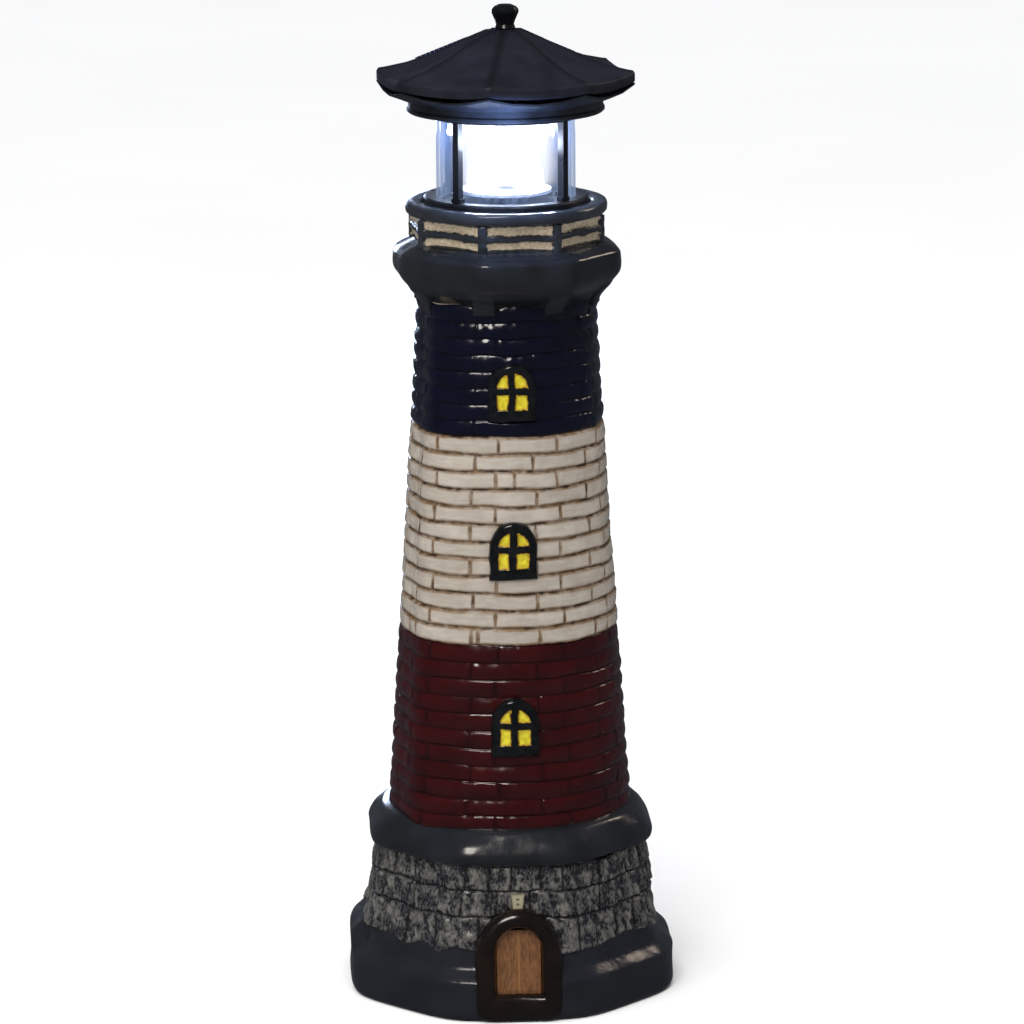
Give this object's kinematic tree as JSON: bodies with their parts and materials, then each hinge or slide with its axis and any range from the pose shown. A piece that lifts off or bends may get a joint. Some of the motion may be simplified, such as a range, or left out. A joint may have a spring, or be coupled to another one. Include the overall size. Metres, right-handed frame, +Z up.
{
  "type": "garden lighthouse ornament",
  "caption": "Glazed ceramic garden lighthouse in red, white and blue bands, with a lift-out solar lantern that turns a small beacon",
  "frame": {"origin": "middle of the foot, on the ground", "axes": "+Z up the tower; -Y out of the front door; +X to the right of someone facing the door"},
  "size_m": [0.1218, 0.1235, 0.3681],
  "materials": {
    "glaze": "thick gloss glaze in red, white, navy and charcoal over pressed clay",
    "seal_rubber": "plain",
    "black_plastic": "fine satin",
    "roof_plastic": "soft gloss",
    "clear_pane": "clear",
    "cell_glass": "dark blue cells under clear glass",
    "frosted_plastic": "frosted, lit from inside",
    "led_resin": "clear resin, lit",
    "board": "green solder mask",
    "grey_plastic": "moulded",
    "bright_plating": "vacuum plated",
    "steel": "zinc plated",
    "motor_can": "drawn can",
    "gear_brass": "cut",
    "lead_cover": "soft",
    "battery_sleeve": "shrunk sleeve",
    "white_plastic": "moulded"
  },
  "bodies": {
    "tower": {"tower_casting": "glaze"},
    "lantern": {"seat_ring": "seal_rubber", "lamp_cup": "black_plastic", "lamp_deck": "black_plastic", "deck_screws": "steel", "lens": "clear_pane", "lantern_cage": "black_plastic", "light_drum": "roof_plastic", "roof_shell": "roof_plastic", "roof_screws": "steel", "finial": "roof_plastic", "solar_cells": "cell_glass", "bulb_cover": "frosted_plastic", "led_board": "board", "led": "led_resin", "spindle": "steel", "spindle_clip": "steel", "motor": "motor_can", "circuit_board": "board", "power_lead": "lead_cover", "battery": "battery_sleeve", "battery_contacts": "steel", "battery_cover": "black_plastic", "cover_screws": "steel", "switch_body": "grey_plastic"},
    "beacon": {"beacon_turntable": "grey_plastic", "beacon_reflector": "bright_plating"},
    "drive": {"pinion": "gear_brass", "motor_shaft": "steel"},
    "switch": {"switch_knob": "white_plastic"}
  },
  "joints": [
    {"name": "lantern_lift", "type": "slide", "parent": "tower", "child": "lantern", "axis": [0, 0, 1], "range_m": [0, 0.06]},
    {"name": "beacon_turn", "type": "hinge", "parent": "lantern", "child": "beacon", "pos_m": [0, 0, 0.299], "axis": [0, 0, 1], "continuous": true},
    {"name": "pinion_turn", "type": "hinge", "parent": "lantern", "child": "drive", "pos_m": [0, 0.012, 0.298], "axis": [0, 0, 1], "continuous": true},
    {"name": "switch_slide", "type": "slide", "parent": "lantern", "child": "switch", "axis": [1, 0, 0], "range_m": [0, 0.0024]}
  ],
  "couplings": [
    {"joint": "pinion_turn", "follows": "beacon_turn", "ratio": -2}
  ]
}
